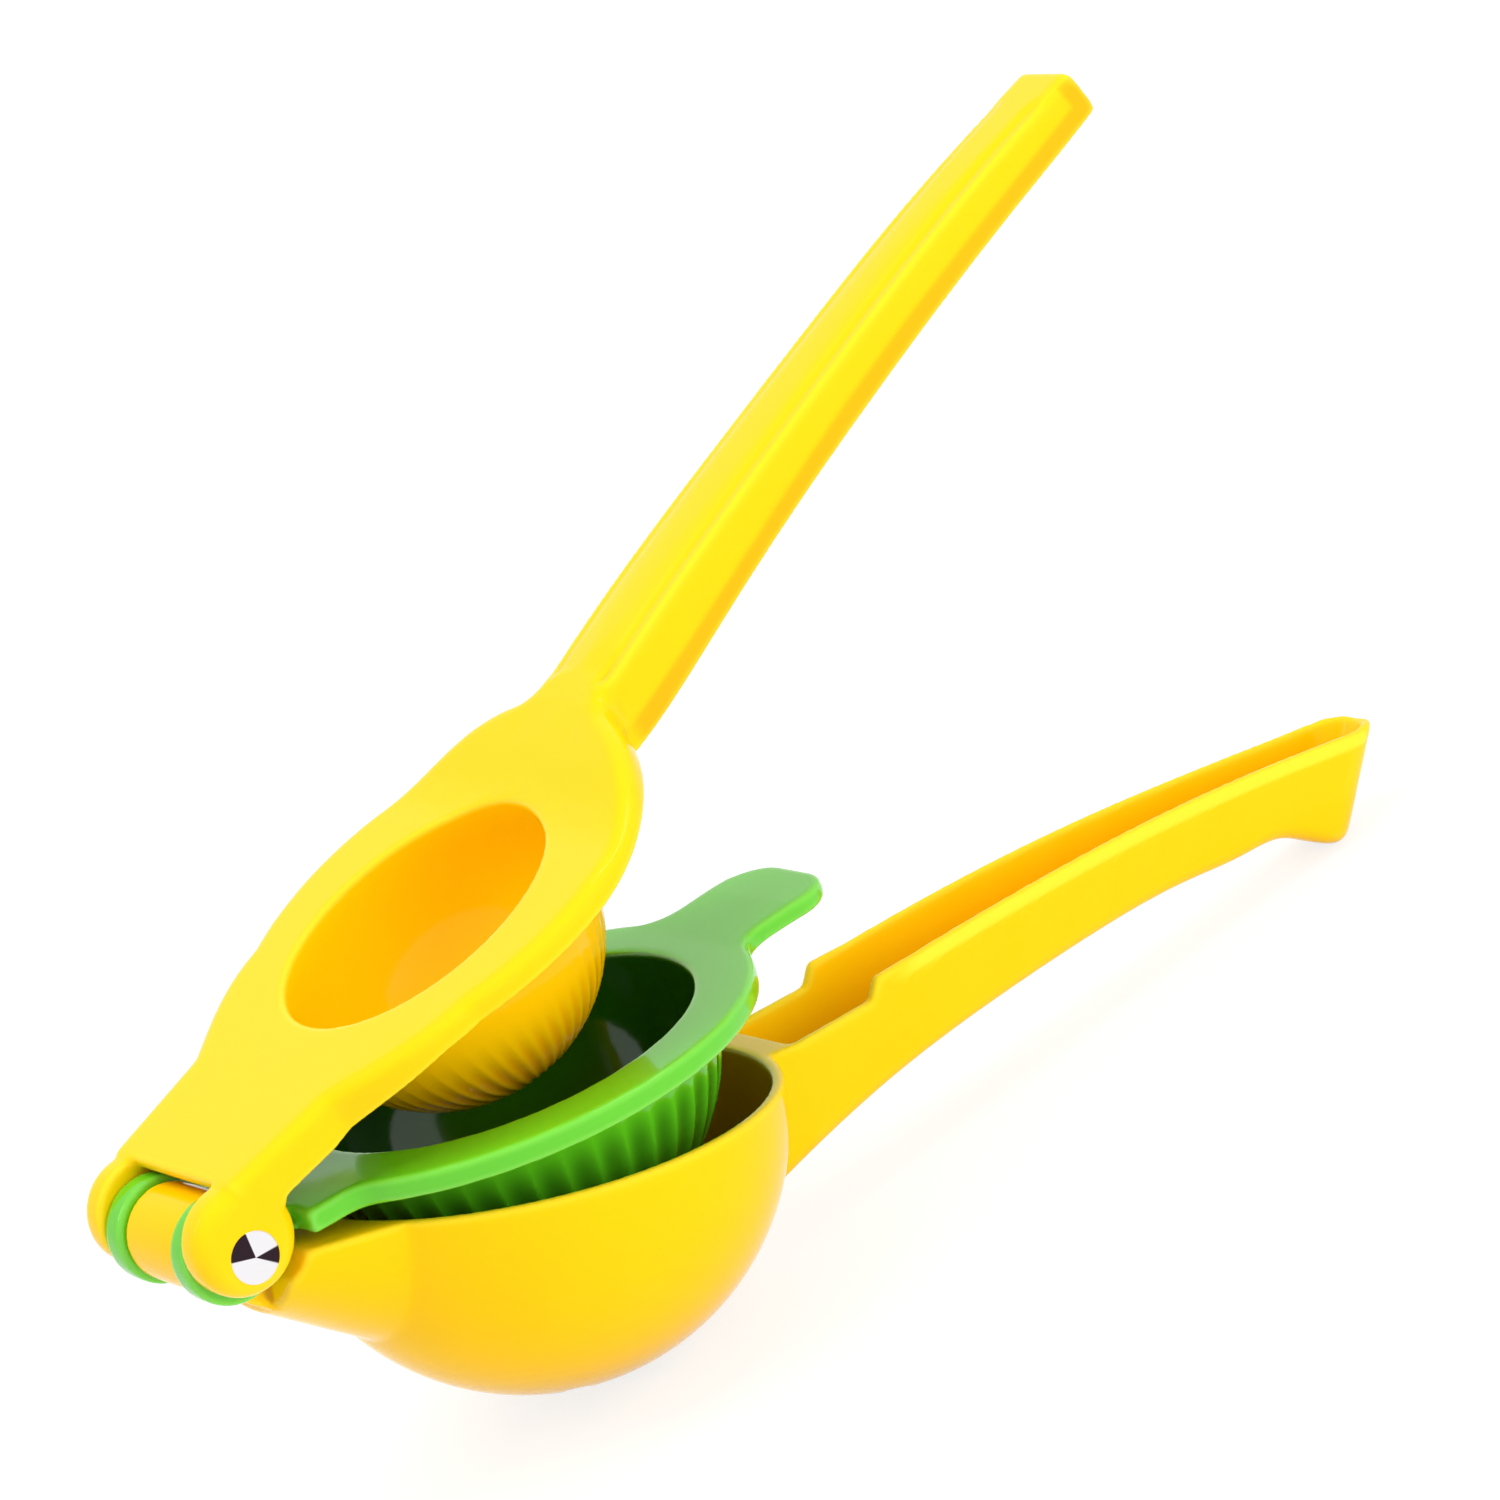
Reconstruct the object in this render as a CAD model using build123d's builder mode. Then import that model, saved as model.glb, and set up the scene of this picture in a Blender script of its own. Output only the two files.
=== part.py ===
from build123d import *
from math import asin, atan2, cos, degrees, hypot, radians, sin, sqrt
import os

# Hinged two-in-one citrus squeezer: a bowl arm, a lime cup and a press arm on one hinge pin.
#
# Each casting is drawn in its own arm frame: origin on the hinge axis, x towards the handles,
# y across the tool and z away from the bowl. At the end every arm is set on its plane through
# the hinge, so that the tool lies on its bowl and on the lobe under the lower handle with the
# press arm open.

# Bowl
bowl_x = 54.0            # hinge axis to bowl axis
rim_z = -2.3             # bowl rim below the hinge axis
bowl_r = 38.0            # outer radius
bowl_wall = 2.0

# Hinge stack, from the middle outwards
barrel_r = 7.0
barrel_half = 7.2
knuckle_r = 7.8
knuckle_in = 7.4
knuckle_out = 11.8
ear_r = 7.9
ear_centre = (0.8, 1.9)  # the ears' round end stands a little off the pin
ear_in = 12.0
ear_out = 18.0
knuckle_gap_r = 8.6      # relief for the turning knuckles
plate_start = 9.8        # the lime cup's plate begins clear of the ears
pin_r = 2.6
pin_bore_r = 2.65
head_r = 3.75
head_t = 1.5
rivet_r = 1.5

# Lower handle
lower_start = 95.4       # channel begins, behind the rim
lower_tip = 213.4        # at the height of the top edge
lower_rake = 0.54        # the tip leans back towards the bowl
lobe_centre = (201.2, -1.613)
lobe_r = 4.0

# Lime cup
cup_x = 53.6
cup_z = 0.5
cup_r = 31.6
cup_wall = 2.2
ring_bottom = -2.1
ring_top = 1.4
ring_r = 38.9
ring_neck_half = 17.2
tab_half = 11.0
tab_end = 108.9

# Press arm
flange_x = 58.5
flange_r = 35.0
flange_top = 9.8
flange_bottom = 5.8
dome_x = 54.2
dome_z = 4.5
dome_r = 24.3
dome_wall = 2.2
neck_bottom = 3.0
neck_end = 3.6
root_half = 8.0          # the flange outline closes in to this half-width
root_r = 6.0
edge_r = 2.2             # rounding of the plate's top edge
ear_edge_r = 3.0         # rounding of the ears' outer edge
belly_r = 2.5            # rounding under the lower handle

# Drain slots in the bowl and the lime cup
slot_w = 2.4
slot_l = 9.0
slot_ring_r = 10.0
slots = 6

# How far the arms stand open, from the bowl rim
lime_open = 9.3
press_open = 26.5

# The tool rests on the bowl and on the lobe, which sets its tilt and the hinge's height
lobe_dx = lobe_centre[0] - bowl_x
lobe_dz = lobe_centre[1] - rim_z
tilt = degrees(asin((lobe_r - bowl_r) / hypot(lobe_dx, lobe_dz)) - atan2(lobe_dz, lobe_dx))
hinge_z = bowl_r - bowl_x * sin(radians(tilt)) - rim_z * cos(radians(tilt))
hinge_x = -100.9         # puts the origin under the middle of the whole tool

# The press arm's flange runs into the handle through a concave corner on each side
root_y = root_half + root_r
root_x = flange_x + sqrt((flange_r + root_r) ** 2 - root_y**2)
root_angle = degrees(asin(root_y / (flange_r + root_r)))
root_turn = radians((180 + root_angle + 270) / 2)
root_middle = (root_x + root_r * cos(root_turn), root_y + root_r * sin(root_turn))


def flange_point(angle):
    """Point of the press arm's round flange at an angle from the handle's direction."""
    return flange_x + flange_r * cos(radians(angle)), flange_r * sin(radians(angle))


def across(x):
    """Plane square to the arm at distance x from the hinge: local x is y, local y is z."""
    return Plane((x, 0, 0), x_dir=(0, 1, 0), z_dir=(1, 0, 0))


def arm_plane(angle):
    """Level plane of an arm turned up by angle about the hinge axis."""
    forward = (cos(radians(angle)), 0, sin(radians(angle)))
    upward = (-sin(radians(angle)), 0, cos(radians(angle)))
    return Plane((hinge_x, 0, hinge_z), x_dir=forward, z_dir=upward)


# Lower handle with its finger lobe
lobe_end = (lobe_centre[0] + lobe_r * cos(radians(-28)), lobe_centre[1] + lobe_r * sin(radians(-28)))
with BuildPart() as lower_handle:
    with BuildSketch(Plane.XZ):
        with BuildLine():
            belly = Spline(
                (78, -26.5), (92.4, -20.2), (112.3, -12.9), (132, -7.9), (152, -4.2), (171, -2.1),
                (183, -1.55), (190, -1.25), (196, -3.6), (lobe_centre[0], lobe_centre[1] - lobe_r),
            )
            lobe = ThreePointArc(
                belly @ 1,
                (lobe_centre[0] + lobe_r * sin(radians(31)), lobe_centre[1] - lobe_r * cos(radians(31))),
                lobe_end,
            )
            nose = Line(lobe @ 1, (lobe_end[0] + 9.1, lobe_end[1] + 16.4))
            brow = Polyline(nose @ 1, (208, 11.1), (192, 10.9))
            back = Spline(brow @ 1, (170, 10.0), (143, 7.5), (117.3, 3.7), (111.2, 2.7))
            step = Line(back @ 1, (109.6, -0.4))
            Polyline(step @ 1, (lower_start, rim_z), (78, rim_z), belly @ 0)
        make_face()
    extrude(amount=15, both=True)
    with BuildSketch(Plane.XY.offset(11.3)):
        with BuildLine():
            flank = Spline((64, 11.6), (112, 9.7), (145, 8.9), (178, 7.3), (207, 7.1))
            tip = ThreePointArc(flank @ 1, (lower_tip, 0), (207, -7.1))
            Spline(tip @ 1, (178, -7.3), (145, -8.9), (112, -9.7), (64, -11.6))
            Line((64, -11.6), (64, 11.6))
        make_face()
    extrude(amount=46, dir=(-lower_rake, 0, -1), mode=Mode.INTERSECT)
    side_edges = lower_handle.edges().filter_by(lambda e: abs(e.center().Y) > 2)
    belly_edges = side_edges.filter_by(lambda e: e.length > 100)
    lobe_edges = side_edges.filter_by(lambda e: e.center().X > 198 and e.center().Z < -2.5)
    fillet(belly_edges + lobe_edges.filter_by(lambda e: 2 < e.length < 6), radius=belly_r)

with BuildPart() as lower_channel:
    with BuildSketch(Plane.XZ):
        with BuildLine():
            floor = Spline((lower_start, -16.6), (112, -10.2), (132, -5.2), (160, -0.2), (197, 1.8))
            Polyline(floor @ 1, (206, 2.4), (215, 15), (lower_start, 15), floor @ 0)
        make_face()
    extrude(amount=15, both=True)
    with BuildSketch(Plane.XY.offset(16)):
        with BuildLine():
            inner = Spline((84, 8.9), (115, 7.8), (148, 7.1), (181, 5.5), (209.4, 5.3))
            inner_tip = ThreePointArc(inner @ 1, (lower_tip + 0.9, 0), (209.4, -5.3))
            Spline(inner_tip @ 1, (181, -5.5), (148, -7.1), (115, -7.8), (84, -8.9))
            Line((84, -8.9), (84, 8.9))
        make_face()
    extrude(amount=46, dir=(-lower_rake, 0, -1), mode=Mode.INTERSECT)

# Bowl arm: bowl, neck, hinge barrel and handle in one casting
with BuildPart() as bowl_casting:
    with BuildSketch(Plane.XZ):
        with Locations((bowl_x, rim_z)):
            Circle(bowl_r)
        with Locations((bowl_x - bowl_r, rim_z)):
            Rectangle(2 * bowl_r, 3 * bowl_r, mode=Mode.SUBTRACT)
    revolve(axis=Axis((bowl_x, 0, 0), (0, 0, 1)))
    for x, half, depth in ((6.0, 16.2, 10.6), (34.0, 24.0, 28.2)):
        with BuildSketch(across(x)):
            with Locations((0, rim_z)):
                Ellipse(half, depth)
    loft()
    with BuildSketch(Plane.XY.offset(rim_z)):
        with Locations((50, 0)):
            Rectangle(140, 90)
    extrude(amount=50, mode=Mode.SUBTRACT)
    with BuildSketch(Plane.XZ):
        Circle(knuckle_gap_r)
    extrude(amount=20, both=True, mode=Mode.SUBTRACT)
    with BuildSketch(Plane.XZ):
        Circle(barrel_r)
        Polygon((0, -barrel_r), (3.0, -9.9), (14, -16.5), (14, rim_z), (0, rim_z), align=None)
    extrude(amount=barrel_half, both=True)
    add(lower_handle.part)
    with BuildSketch(Plane.XZ):
        with Locations((bowl_x, rim_z)):
            Circle(bowl_r - bowl_wall)
        with Locations((bowl_x + bowl_r / 2, rim_z)):
            Rectangle(bowl_r, 2 * bowl_r, align=(Align.CENTER, Align.MIN))
        with Locations((bowl_x - bowl_r, rim_z)):
            Rectangle(2 * bowl_r, 3 * bowl_r, mode=Mode.SUBTRACT)
        with Locations((bowl_x + bowl_r - bowl_wall, rim_z)):
            Rectangle(bowl_r, 3 * bowl_r, align=(Align.MIN, Align.CENTER), mode=Mode.SUBTRACT)
    revolve(axis=Axis((bowl_x, 0, 0), (0, 0, 1)), mode=Mode.SUBTRACT)
    add(lower_channel.part, mode=Mode.SUBTRACT)
    with BuildSketch(Plane.XY.offset(rim_z - bowl_r - 1)):
        with Locations((bowl_x, 0)):
            Circle(slot_w / 2)
            with PolarLocations(slot_ring_r, slots):
                SlotOverall(slot_l, slot_w)
    extrude(amount=12, mode=Mode.SUBTRACT)
    with BuildSketch(Plane.XZ):
        Circle(pin_bore_r)
    extrude(amount=barrel_half + 1, both=True, mode=Mode.SUBTRACT)

# Lime cup: ring plate, cup, thumb tab and two knuckles in one casting
with BuildPart() as lime_casting:
    with BuildSketch(Plane.XZ):
        Polygon(
            (plate_start, ring_bottom), (84, ring_bottom), (96, -0.9), (112, -0.5),
            (112, 2.2), (100, 2.1), (88, ring_top), (plate_start, ring_top), align=None,
        )
    extrude(amount=40, both=True)
    with BuildSketch(Plane.XY.offset(-5)) as ring_plan:
        with Locations((cup_x - 0.6, 0)):
            Circle(ring_r)
        with Locations(((plate_start + cup_x) / 2, 0)):
            Rectangle(cup_x - plate_start, 2 * ring_neck_half)
        with Locations(((cup_x + tab_end) / 2, 0)):
            Rectangle(tab_end - cup_x, 2 * tab_half)
        fillet(ring_plan.vertices().filter_by_position(Axis.X, 14, 40), radius=5)
        fillet(ring_plan.vertices().filter_by_position(Axis.X, 85, 95), radius=6)
        fillet(ring_plan.vertices().filter_by_position(Axis.X, 105, 115), radius=7)
    extrude(amount=10, mode=Mode.INTERSECT)
    with BuildSketch(Plane.XZ):
        with Locations((cup_x, cup_z)):
            Circle(cup_r)
        with Locations((cup_x, cup_z)):
            Rectangle(2 * cup_r, ring_top - cup_z, align=(Align.CENTER, Align.MIN))
        with Locations((cup_x, ring_top)):
            Rectangle(3 * cup_r, 2 * cup_r, align=(Align.CENTER, Align.MIN), mode=Mode.SUBTRACT)
        with Locations((cup_x, cup_z)):
            Rectangle(2 * cup_r, 3 * cup_r, align=(Align.MAX, Align.CENTER), mode=Mode.SUBTRACT)
    revolve(axis=Axis((cup_x, 0, 0), (0, 0, 1)))
    for side in (knuckle_in, -knuckle_out):
        with BuildSketch(Plane.XZ.offset(side)):
            Circle(knuckle_r)
            Polygon((0, ring_bottom), (14, ring_bottom), (14, ring_top), (0, ring_top), align=None)
        extrude(amount=knuckle_out - knuckle_in)
    with BuildSketch(Plane.XZ):
        with Locations((cup_x, cup_z)):
            Circle(cup_r - cup_wall)
        with Locations((cup_x, cup_z)):
            Rectangle(2 * (cup_r - cup_wall), cup_r, align=(Align.CENTER, Align.MIN))
        with Locations((cup_x, cup_z)):
            Rectangle(2 * cup_r, 3 * cup_r, align=(Align.MAX, Align.CENTER), mode=Mode.SUBTRACT)
    revolve(axis=Axis((cup_x, 0, 0), (0, 0, 1)), mode=Mode.SUBTRACT)
    with BuildSketch(Plane.XY.offset(cup_z - cup_r - 1)):
        with Locations((cup_x, 0)):
            Circle(slot_w / 2)
            with PolarLocations(slot_ring_r, slots):
                SlotOverall(slot_l, slot_w)
    extrude(amount=10, mode=Mode.SUBTRACT)
    with BuildSketch(Plane.XZ):
        Circle(pin_bore_r)
    extrude(amount=knuckle_out + 1, both=True, mode=Mode.SUBTRACT)

# Press handle sections: distance, top, bottom, half-width of the flat top, half-width below
handle_sections = (
    (91.0, 15.9, 5.7, 6.6, 8.9),
    (105.0, 18.8, 7.7, 6.6, 8.8),
    (122.0, 21.5, 11.3, 6.4, 8.6),
    (146.0, 24.6, 15.4, 5.9, 8.1),
    (170.0, 27.5, 18.6, 5.5, 7.7),
    (193.0, 29.3, 20.9, 5.1, 7.3),
    (213.2, 29.8, 22.7, 4.9, 7.1),
)
with BuildPart() as upper_handle:
    for x, top, bottom, flat, wide in handle_sections:
        with BuildSketch(across(x)):
            with BuildLine():
                Line((0, top), (flat, top))
                shoulder = ThreePointArc((flat, top), (flat + 1.2, top - 0.6), (flat + 1.75, top - 2.1))
                ThreePointArc(shoulder @ 1, (flat + 2.0, (top + bottom) / 2), (wide, bottom))
                Line((wide, bottom), (0, bottom))
                mirror(about=Plane.YZ)
            make_face()
    loft()

# The handle's hollow underside
with BuildPart() as upper_channel:
    for x, top, bottom, flat, wide in handle_sections[1:]:
        with BuildSketch(across(x - 3.5)):
            Polygon(
                (flat - 0.4, top - 2.6), (wide - 1.9, bottom - 3), (1.9 - wide, bottom - 3),
                (0.4 - flat, top - 2.6), align=None,
            )
    loft()

# Plate of the press arm: neck and round flange, bent up into the handle
with BuildPart() as plate:
    with BuildSketch(Plane.XZ):
        with BuildLine():
            crown = Spline((70, flange_top), (78, 11.0), (84, 13.4), (91, 15.8), (104, 18.6))
            edge = Line(crown @ 1, (104, 13.5))
            keel = Spline(edge @ 1, (91, 9.6), (84, 8.2), (75, 6.7), (62, flange_bottom))
            Polyline(
                keel @ 1, (36, flange_bottom), (18, neck_bottom), (neck_end, neck_bottom),
                (neck_end, flange_top), crown @ 0,
            )
        make_face()
    extrude(amount=40, both=True)
    with BuildSketch(Plane.XY.offset(-5)):
        with BuildLine():
            neck_side = Line((neck_end, 18.0), (21.4, 19.9))
            flare = Spline(neck_side @ 1, (28.5, 25.2), (36, 29.4), flange_point(118))
            flange_side = ThreePointArc(flare @ 1, flange_point(75), flange_point(root_angle))
            root_side = ThreePointArc(flange_side @ 1, root_middle, (root_x, root_half))
            Polyline(root_side @ 1, (104, root_half), (104, 0))
            Line((neck_end, 0), neck_side @ 0)
            mirror(about=Plane.XZ)
        make_face()
    extrude(amount=45, mode=Mode.INTERSECT)
    top_faces = plate.faces().filter_by(lambda f: f.normal_at().Z > 0.6)
    rim_edges = top_faces.edges().filter_by(lambda e: abs(e.center().Y) > 6 and e.length > 6)
    fillet(rim_edges.filter_by(lambda e: abs(e.center().X - 70) > 1), radius=edge_r)

# Ears with a well rounded outer edge
with BuildPart() as ears:
    with BuildSketch(Plane.XZ.offset(ear_in)):
        with Locations(ear_centre):
            Circle(ear_r)
    extrude(amount=ear_out - ear_in)
    fillet(ears.edges().sort_by(Axis.Y)[0], radius=ear_edge_r)
    with BuildSketch(Plane.XZ.offset(ear_in)):
        Polygon(ear_centre, (8.7, 1.9), (8.7, 7.0), (0.8, 7.0), align=None)
    extrude(amount=ear_out - ear_in)
    mirror(about=Plane.XZ)

# Press arm: plate, ears, dome and handle in one casting
with BuildPart() as press_casting:
    add(plate.part)
    add(ears.part)
    with BuildSketch(Plane.XZ.offset(-ear_in)):
        Circle(knuckle_gap_r)
    extrude(amount=2 * ear_in, mode=Mode.SUBTRACT)
    add(upper_handle.part)
    with BuildSketch(Plane.XZ):
        with Locations((dome_x, dome_z)):
            Circle(dome_r)
        with Locations((dome_x, dome_z)):
            Rectangle(2 * dome_r, flange_top - dome_z, align=(Align.CENTER, Align.MIN))
        with Locations((dome_x, flange_top)):
            Rectangle(3 * dome_r, 2 * dome_r, align=(Align.CENTER, Align.MIN), mode=Mode.SUBTRACT)
        with Locations((dome_x, dome_z)):
            Rectangle(2 * dome_r, 3 * dome_r, align=(Align.MAX, Align.CENTER), mode=Mode.SUBTRACT)
    revolve(axis=Axis((dome_x, 0, 0), (0, 0, 1)))
    with BuildSketch(Plane.XZ):
        with Locations((dome_x, dome_z)):
            Circle(dome_r - dome_wall)
        with Locations((dome_x, dome_z)):
            Rectangle(2 * (dome_r - dome_wall), dome_r, align=(Align.CENTER, Align.MIN))
        with Locations((dome_x, dome_z)):
            Rectangle(2 * dome_r, 3 * dome_r, align=(Align.MAX, Align.CENTER), mode=Mode.SUBTRACT)
    revolve(axis=Axis((dome_x, 0, 0), (0, 0, 1)), mode=Mode.SUBTRACT)
    add(upper_channel.part, mode=Mode.SUBTRACT)
    with BuildSketch(Plane.XZ):
        Circle(pin_r)
    extrude(amount=ear_out + 1, both=True, mode=Mode.SUBTRACT)
    for side in (ear_out - head_t, -ear_out):
        with BuildSketch(Plane.XZ.offset(side)):
            Circle(head_r)
        extrude(amount=head_t, mode=Mode.SUBTRACT)

# Hinge pin with a flush head, riveted into a cap of the same size
with BuildPart() as headed_pin:
    with BuildSketch(Plane.XZ.offset(-(ear_out - head_t))):
        Circle(pin_r)
    extrude(amount=2 * (ear_out - head_t))
    with BuildSketch(Plane.XZ.offset(ear_out - head_t)):
        Circle(head_r)
    extrude(amount=head_t)
    with BuildSketch(Plane.XZ.offset(-ear_out)):
        Circle(rivet_r)
    extrude(amount=head_t)

with BuildPart() as flush_cap:
    with BuildSketch(Plane.XZ.offset(-ear_out)):
        Circle(head_r)
        Circle(rivet_r, mode=Mode.SUBTRACT)
    extrude(amount=head_t)

# Each arm set on its plane through the hinge
with BuildPart(arm_plane(tilt)) as bowl_arm:
    add(bowl_casting.part)

with BuildPart(arm_plane(tilt + lime_open)) as lime_cup:
    add(lime_casting.part)

with BuildPart(arm_plane(tilt + press_open)) as press_arm:
    add(press_casting.part)

with BuildPart(arm_plane(tilt + press_open)) as hinge_pin:
    add(headed_pin.part)

with BuildPart(arm_plane(tilt + press_open)) as pin_cap:
    add(flush_cap.part)

bowl_arm.part.label = "bowl_arm"
lime_cup.part.label = "lime_cup"
press_arm.part.label = "press_arm"
hinge_pin.part.label = "hinge_pin"
pin_cap.part.label = "pin_cap"

os.makedirs("parts", exist_ok=True)
export_step(bowl_arm.part, "parts/bowl_arm.step")
export_step(lime_cup.part, "parts/lime_cup.step")
export_step(press_arm.part, "parts/press_arm.step")
export_step(hinge_pin.part, "parts/hinge_pin.step")
export_step(pin_cap.part, "parts/pin_cap.step")

whole = Compound(children=[bowl_arm.part, lime_cup.part, press_arm.part, hinge_pin.part, pin_cap.part])
print("box", whole.bounding_box(), "tilt", round(tilt, 3), "hinge z", round(hinge_z, 3))
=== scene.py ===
"""Looks of a hinged citrus squeezer: enamelled castings, fluted cups and a steel hinge pin."""

import math
from functools import partial

import bmesh
import bpy
import numpy
import openvdb
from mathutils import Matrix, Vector


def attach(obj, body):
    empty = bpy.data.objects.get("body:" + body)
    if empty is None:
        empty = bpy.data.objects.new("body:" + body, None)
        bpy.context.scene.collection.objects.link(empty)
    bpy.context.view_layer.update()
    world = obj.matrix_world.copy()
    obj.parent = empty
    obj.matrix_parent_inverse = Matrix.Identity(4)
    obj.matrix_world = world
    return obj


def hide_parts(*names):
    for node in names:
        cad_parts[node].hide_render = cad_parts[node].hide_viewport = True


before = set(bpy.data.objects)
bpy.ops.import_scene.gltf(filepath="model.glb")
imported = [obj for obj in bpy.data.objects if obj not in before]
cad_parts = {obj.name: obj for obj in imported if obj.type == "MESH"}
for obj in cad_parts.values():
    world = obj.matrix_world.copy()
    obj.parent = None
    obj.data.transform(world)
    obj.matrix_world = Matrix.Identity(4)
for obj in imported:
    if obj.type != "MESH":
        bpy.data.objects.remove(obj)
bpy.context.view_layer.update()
scene = bpy.context.scene

MM = 0.001
HINGE = Vector((-100.9, 0, 52.953)) * MM

# Each arm's tilt about the hinge pin at rest, in degrees
BOWL_TILT = -13.622
LIME_TILT = BOWL_TILT + 9.3
PRESS_TILT = BOWL_TILT + 26.5

# The round cups in their arm's own frame, in mm: centre along the arm and off it from the hinge, and radii
BOWL_CENTRE = (54.0, -2.3)
BOWL_HOLLOW = 36.0
LIME_CENTRE = (53.6, 0.5)
LIME_HOLLOW = 29.4
LIME_OUTSIDE = 31.6
DOME_CENTRE = (54.2, 4.5)
DOME_HOLLOW = 22.1
DOME_OUTSIDE = 24.3


def in_arm(tilt, along, off):
    """World place of a point on an arm's middle plane, from its mm along the arm and off it."""
    turn = math.radians(tilt)
    forward = Vector((math.cos(turn), 0, math.sin(turn)))
    upward = Vector((-math.sin(turn), 0, math.cos(turn)))
    return HINGE + (forward * along + upward * off) * MM


def from_hinge(x, z, tilt):
    """Distances along an arm and off it, from the distances along X and Z from the hinge."""
    turn = math.radians(tilt)
    return x * math.cos(turn) + z * math.sin(turn), z * math.cos(turn) - x * math.sin(turn)


# ---------------------------------------------------------------- node helpers


def new_tree(name, kind):
    """An empty node group, with its input and output nodes."""
    tree = bpy.data.node_groups.new(name, kind)
    return tree, tree.nodes.new("NodeGroupInput"), tree.nodes.new("NodeGroupOutput")


def socket(tree, name, kind, default=None, out=False):
    """Adds a named input or output to a node group."""
    made = tree.interface.new_socket(name=name, in_out="OUTPUT" if out else "INPUT", socket_type=kind)
    if default is not None:
        made.default_value = default


def put(tree, kind, settings=None, **inputs):
    """Adds a node with its settings and its inputs, each a value or another node's output.

    An input goes by its name, with _ for a space, or by its number after a leading _.
    """
    node = tree.nodes.new(kind)
    for key, value in (settings or {}).items():
        setattr(node, key, value)
    for key, value in inputs.items():
        place = node.inputs[int(key[1:])] if key[0] == "_" else node.inputs[key.replace("_", " ")]
        if isinstance(value, bpy.types.NodeSocket):
            tree.links.new(value, place)
        elif value is not None:
            place.default_value = value
    return node


def number(tree, operation, first, second=None):
    """One step of arithmetic on numbers."""
    return put(tree, "ShaderNodeMath", {"operation": operation}, _0=first, _1=second).outputs[0]


def vector(tree, operation, first, second=None):
    """One step of arithmetic on vectors, which gives a vector or, where it measures, a number."""
    node = put(tree, "ShaderNodeVectorMath", {"operation": operation}, _0=first, _1=second)
    measures = operation in ("LENGTH", "DOT_PRODUCT", "DISTANCE")
    return node.outputs["Value" if measures else "Vector"]


def scaled(tree, first, factor):
    """A vector made longer or shorter."""
    node = put(tree, "ShaderNodeVectorMath", {"operation": "SCALE"}, _0=first, Scale=factor)
    return node.outputs["Vector"]


def ramp(tree, value, start, end):
    """From 0 where the value is at start to 1 where it is at end, with soft ends."""
    node = put(tree, "ShaderNodeMapRange", {"interpolation_type": "SMOOTHSTEP"}, _0=value, _1=start, _2=end)
    return node.outputs[0]


def blend(tree, share, first, second):
    """A colour that goes from the first to the second as share goes from 0 to 1."""
    return put(tree, "ShaderNodeMix", {"data_type": "RGBA"}, _0=share, _6=first, _7=second).outputs[2]


def seen_directly(tree):
    """1 for rays that show a surface itself, straight or in a reflection, and 0 for bounced light."""
    rays = put(tree, "ShaderNodeLightPath").outputs
    reflected = number(tree, "MAXIMUM", rays["Is Glossy Ray"], rays["Is Transmission Ray"])
    return number(tree, "MAXIMUM", rays["Is Camera Ray"], reflected)


# ------------------------------------------------------------- enamel with painted highlight and shade

# Surface bend, in 1/mm, over which an edge takes its painted highlight and a crease its painted shade
EDGE_BEND = (0.25, 1.2)
CREASE_BEND = (-0.12, -0.9)

# Distances outside a cup's hollow at which its painted shade starts and is full
HOLLOW_START = 0.35 * MM
HOLLOW_FULL = 0.1 * MM


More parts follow.
